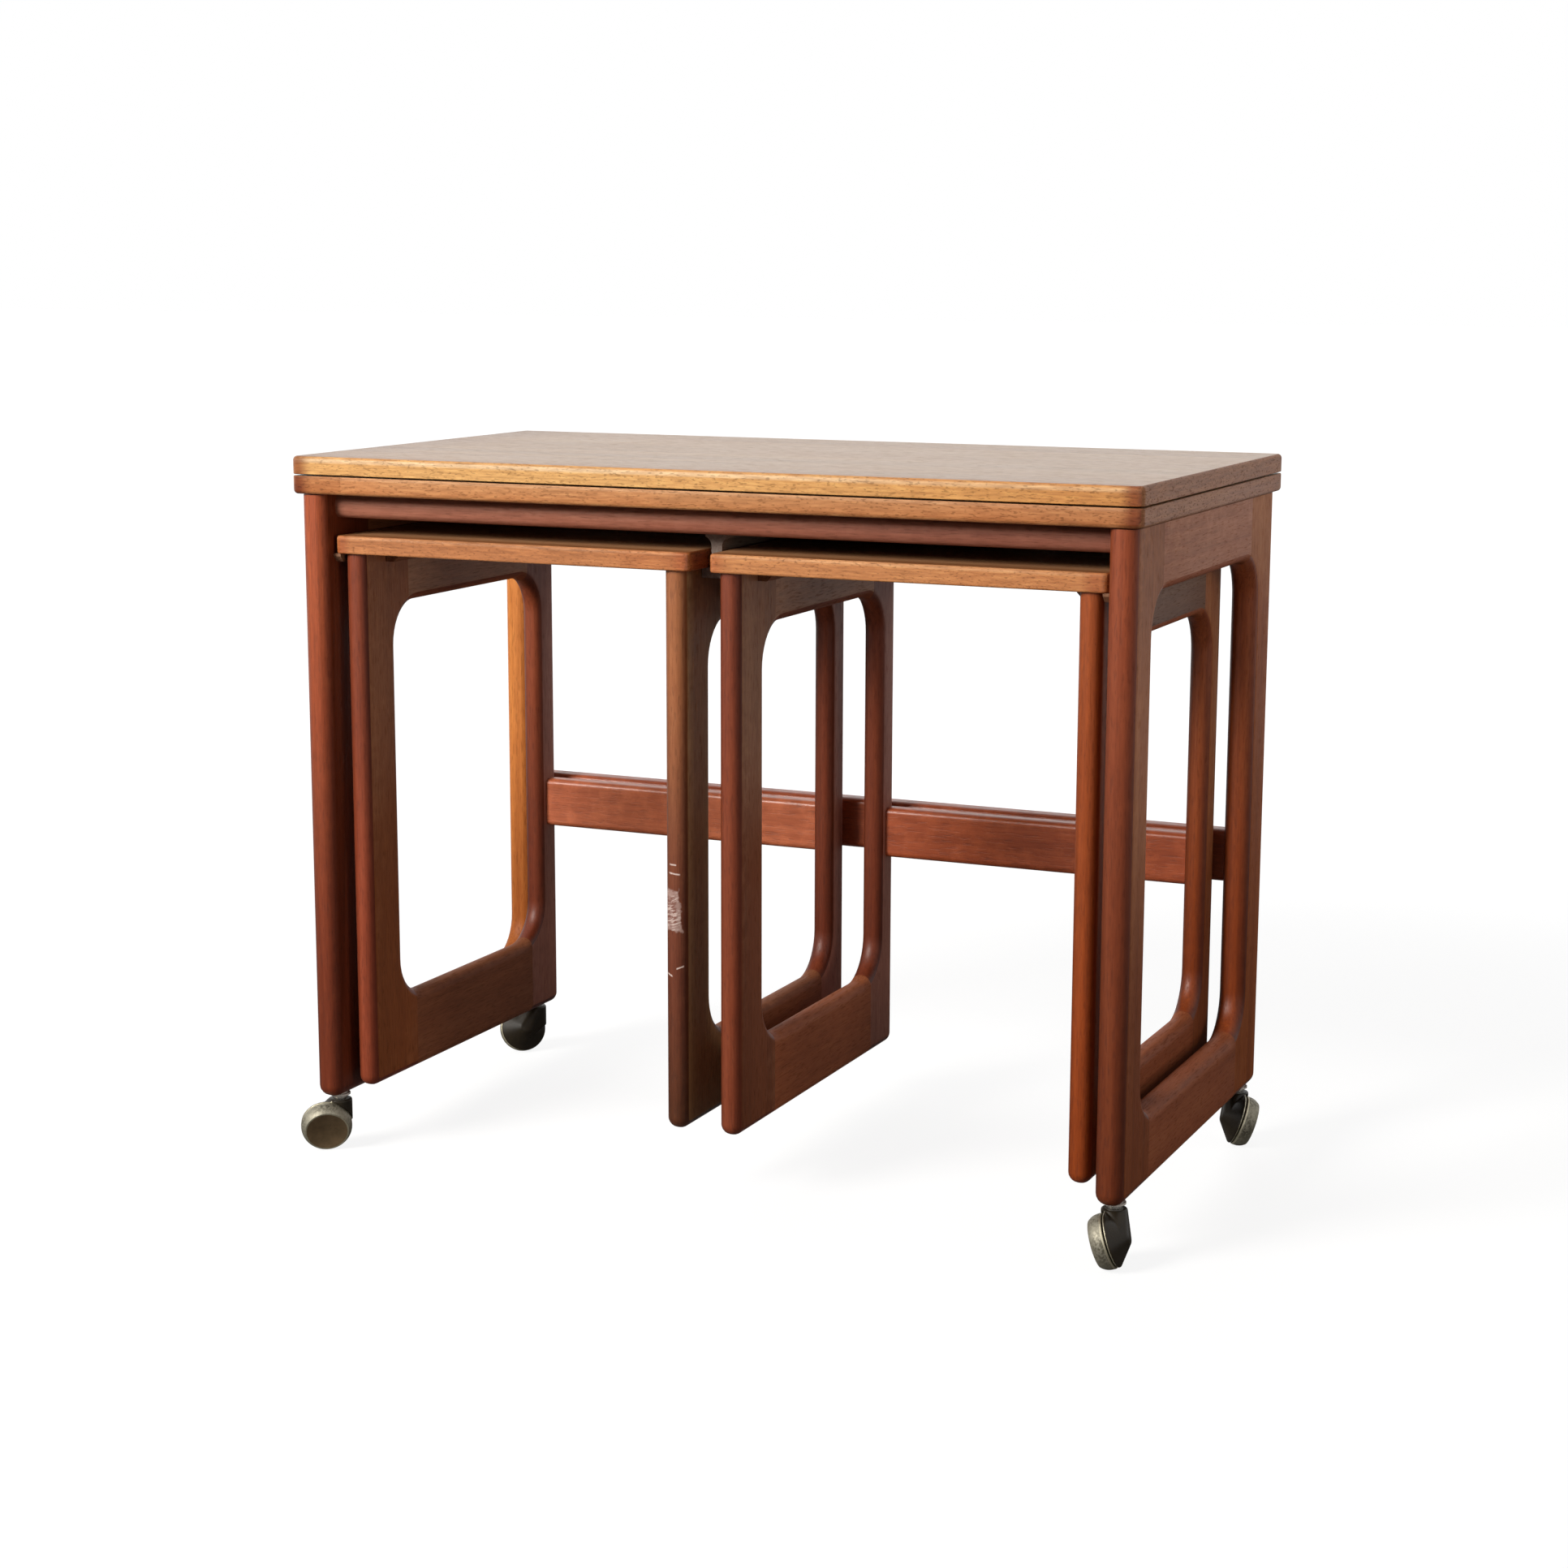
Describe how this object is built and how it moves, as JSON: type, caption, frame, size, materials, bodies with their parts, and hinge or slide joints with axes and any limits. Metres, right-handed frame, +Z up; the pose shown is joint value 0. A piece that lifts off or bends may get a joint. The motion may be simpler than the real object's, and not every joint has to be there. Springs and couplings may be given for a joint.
{
  "type": "nesting tables",
  "caption": "Teak nest of tables: a wheeled table with a swivelling fold-over top and small tables that hang beneath it on runners and slide out.",
  "frame": {"origin": "on the floor under the middle of the main table", "axes": "+X to the right along the long side, +Y to the back, +Z up; the small tables slide out towards -Y"},
  "size_m": [0.7528, 0.407, 0.5967],
  "materials": {
    "teak_top": "oiled teak veneer and lippings",
    "teak_frame": "oiled teak",
    "inner_wood": "plain dark hardwood",
    "aged_brass": "brushed, aged",
    "dark_bronze": "dark bronze lacquer",
    "bright_steel": "bright plated",
    "steel": "zinc plated",
    "brass": "satin",
    "nylon": "matt"
  },
  "bodies": {
    "base": {"caster_sockets": "bright_steel", "centre_runner": "inner_wood", "front_apron": "teak_frame", "glide_pads": "nylon", "left_bottom_rail": "teak_frame", "left_front_stile": "teak_frame", "left_rear_stile": "teak_frame", "left_top_rail": "teak_frame", "pivot_board": "inner_wood", "pivot_bush": "brass", "rear_apron": "teak_frame", "rear_stretcher": "teak_frame", "right_bottom_rail": "teak_frame", "right_front_stile": "teak_frame", "right_rear_stile": "teak_frame", "right_top_rail": "teak_frame", "runner_screws": "steel", "side_runners": "inner_wood"},
    "lower_leaf": {"lower_leaf": "teak_top", "lower_hinge_plates": "brass", "hinge_pins": "brass", "lower_leaf_screws": "steel", "pivot_plate": "steel", "pivot_washer": "steel", "pivot_nut": "steel"},
    "upper_leaf": {"upper_leaf": "teak_top", "upper_hinge_plates": "brass", "upper_leaf_screws": "steel"},
    "left_table": {"left_table_fixing_blocks": "inner_wood", "left_table_inner_bottom_rail": "teak_frame", "left_table_inner_front_stile": "teak_frame", "left_table_inner_rear_stile": "teak_frame", "left_table_inner_top_rail": "teak_frame", "left_table_outer_bottom_rail": "teak_frame", "left_table_outer_front_stile": "teak_frame", "left_table_outer_rear_stile": "teak_frame", "left_table_outer_top_rail": "teak_frame", "left_table_screws": "steel", "left_table_stretcher": "teak_frame", "left_table_top": "teak_top"},
    "right_table": {"right_table_fixing_blocks": "inner_wood", "right_table_inner_bottom_rail": "teak_frame", "right_table_inner_front_stile": "teak_frame", "right_table_inner_rear_stile": "teak_frame", "right_table_inner_top_rail": "teak_frame", "right_table_outer_bottom_rail": "teak_frame", "right_table_outer_front_stile": "teak_frame", "right_table_outer_rear_stile": "teak_frame", "right_table_outer_top_rail": "teak_frame", "right_table_screws": "steel", "right_table_stretcher": "teak_frame", "right_table_top": "teak_top"},
    "front_left_hood": {"front_left_caster_hood": "dark_bronze"},
    "front_left_wheel": {"front_left_caster_wheel": "aged_brass"},
    "front_right_hood": {"front_right_caster_hood": "dark_bronze"},
    "front_right_wheel": {"front_right_caster_wheel": "aged_brass"},
    "rear_left_hood": {"rear_left_caster_hood": "dark_bronze"},
    "rear_left_wheel": {"rear_left_caster_wheel": "aged_brass"},
    "rear_right_hood": {"rear_right_caster_hood": "dark_bronze"},
    "rear_right_wheel": {"rear_right_caster_wheel": "aged_brass"}
  },
  "joints": [
    {"name": "top_swivel", "type": "hinge", "parent": "base", "child": "lower_leaf", "pos_m": [0.099, 0.099, 0.5655], "axis": [0, 0, 1], "range_deg": [0, 90]},
    {"name": "leaf_fold", "type": "hinge", "parent": "lower_leaf", "child": "upper_leaf", "pos_m": [0, 0.198, 0.5811], "axis": [-1, 0, 0], "range_deg": [0, 180]},
    {"name": "left_table_slide", "type": "slide", "parent": "base", "child": "left_table", "axis": [0, -1, 0], "range_m": [0, 0.36]},
    {"name": "right_table_slide", "type": "slide", "parent": "base", "child": "right_table", "axis": [0, -1, 0], "range_m": [0, 0.36]},
    {"name": "front_left_swivel", "type": "hinge", "parent": "base", "child": "front_left_hood", "pos_m": [-0.3485, -0.172, 0.06], "axis": [0, 0, 1], "continuous": true},
    {"name": "front_left_roll", "type": "hinge", "parent": "front_left_hood", "child": "front_left_wheel", "pos_m": [-0.35792, -0.17982, 0.02242], "axis": [0.5423, -0.7745, -0.3256], "continuous": true},
    {"name": "front_right_swivel", "type": "hinge", "parent": "base", "child": "front_right_hood", "pos_m": [0.3485, -0.172, 0.06], "axis": [0, 0, 1], "continuous": true},
    {"name": "front_right_roll", "type": "hinge", "parent": "front_right_hood", "child": "front_right_wheel", "pos_m": [0.34976, -0.18418, 0.02242], "axis": [-0.9294, -0.1739, -0.3256], "continuous": true},
    {"name": "rear_left_swivel", "type": "hinge", "parent": "base", "child": "rear_left_hood", "pos_m": [-0.3485, 0.172, 0.06], "axis": [0, 0, 1], "continuous": true},
    {"name": "rear_left_roll", "type": "hinge", "parent": "rear_left_hood", "child": "rear_left_wheel", "pos_m": [-0.35769, 0.16392, 0.02242], "axis": [-0.6801, 0.6568, -0.3256], "continuous": true},
    {"name": "rear_right_swivel", "type": "hinge", "parent": "base", "child": "rear_right_hood", "pos_m": [0.3485, 0.172, 0.06], "axis": [0, 0, 1], "continuous": true},
    {"name": "rear_right_roll", "type": "hinge", "parent": "rear_right_hood", "child": "rear_right_wheel", "pos_m": [0.35388, 0.16101, 0.02242], "axis": [0.8803, 0.345, -0.3256], "continuous": true}
  ]
}
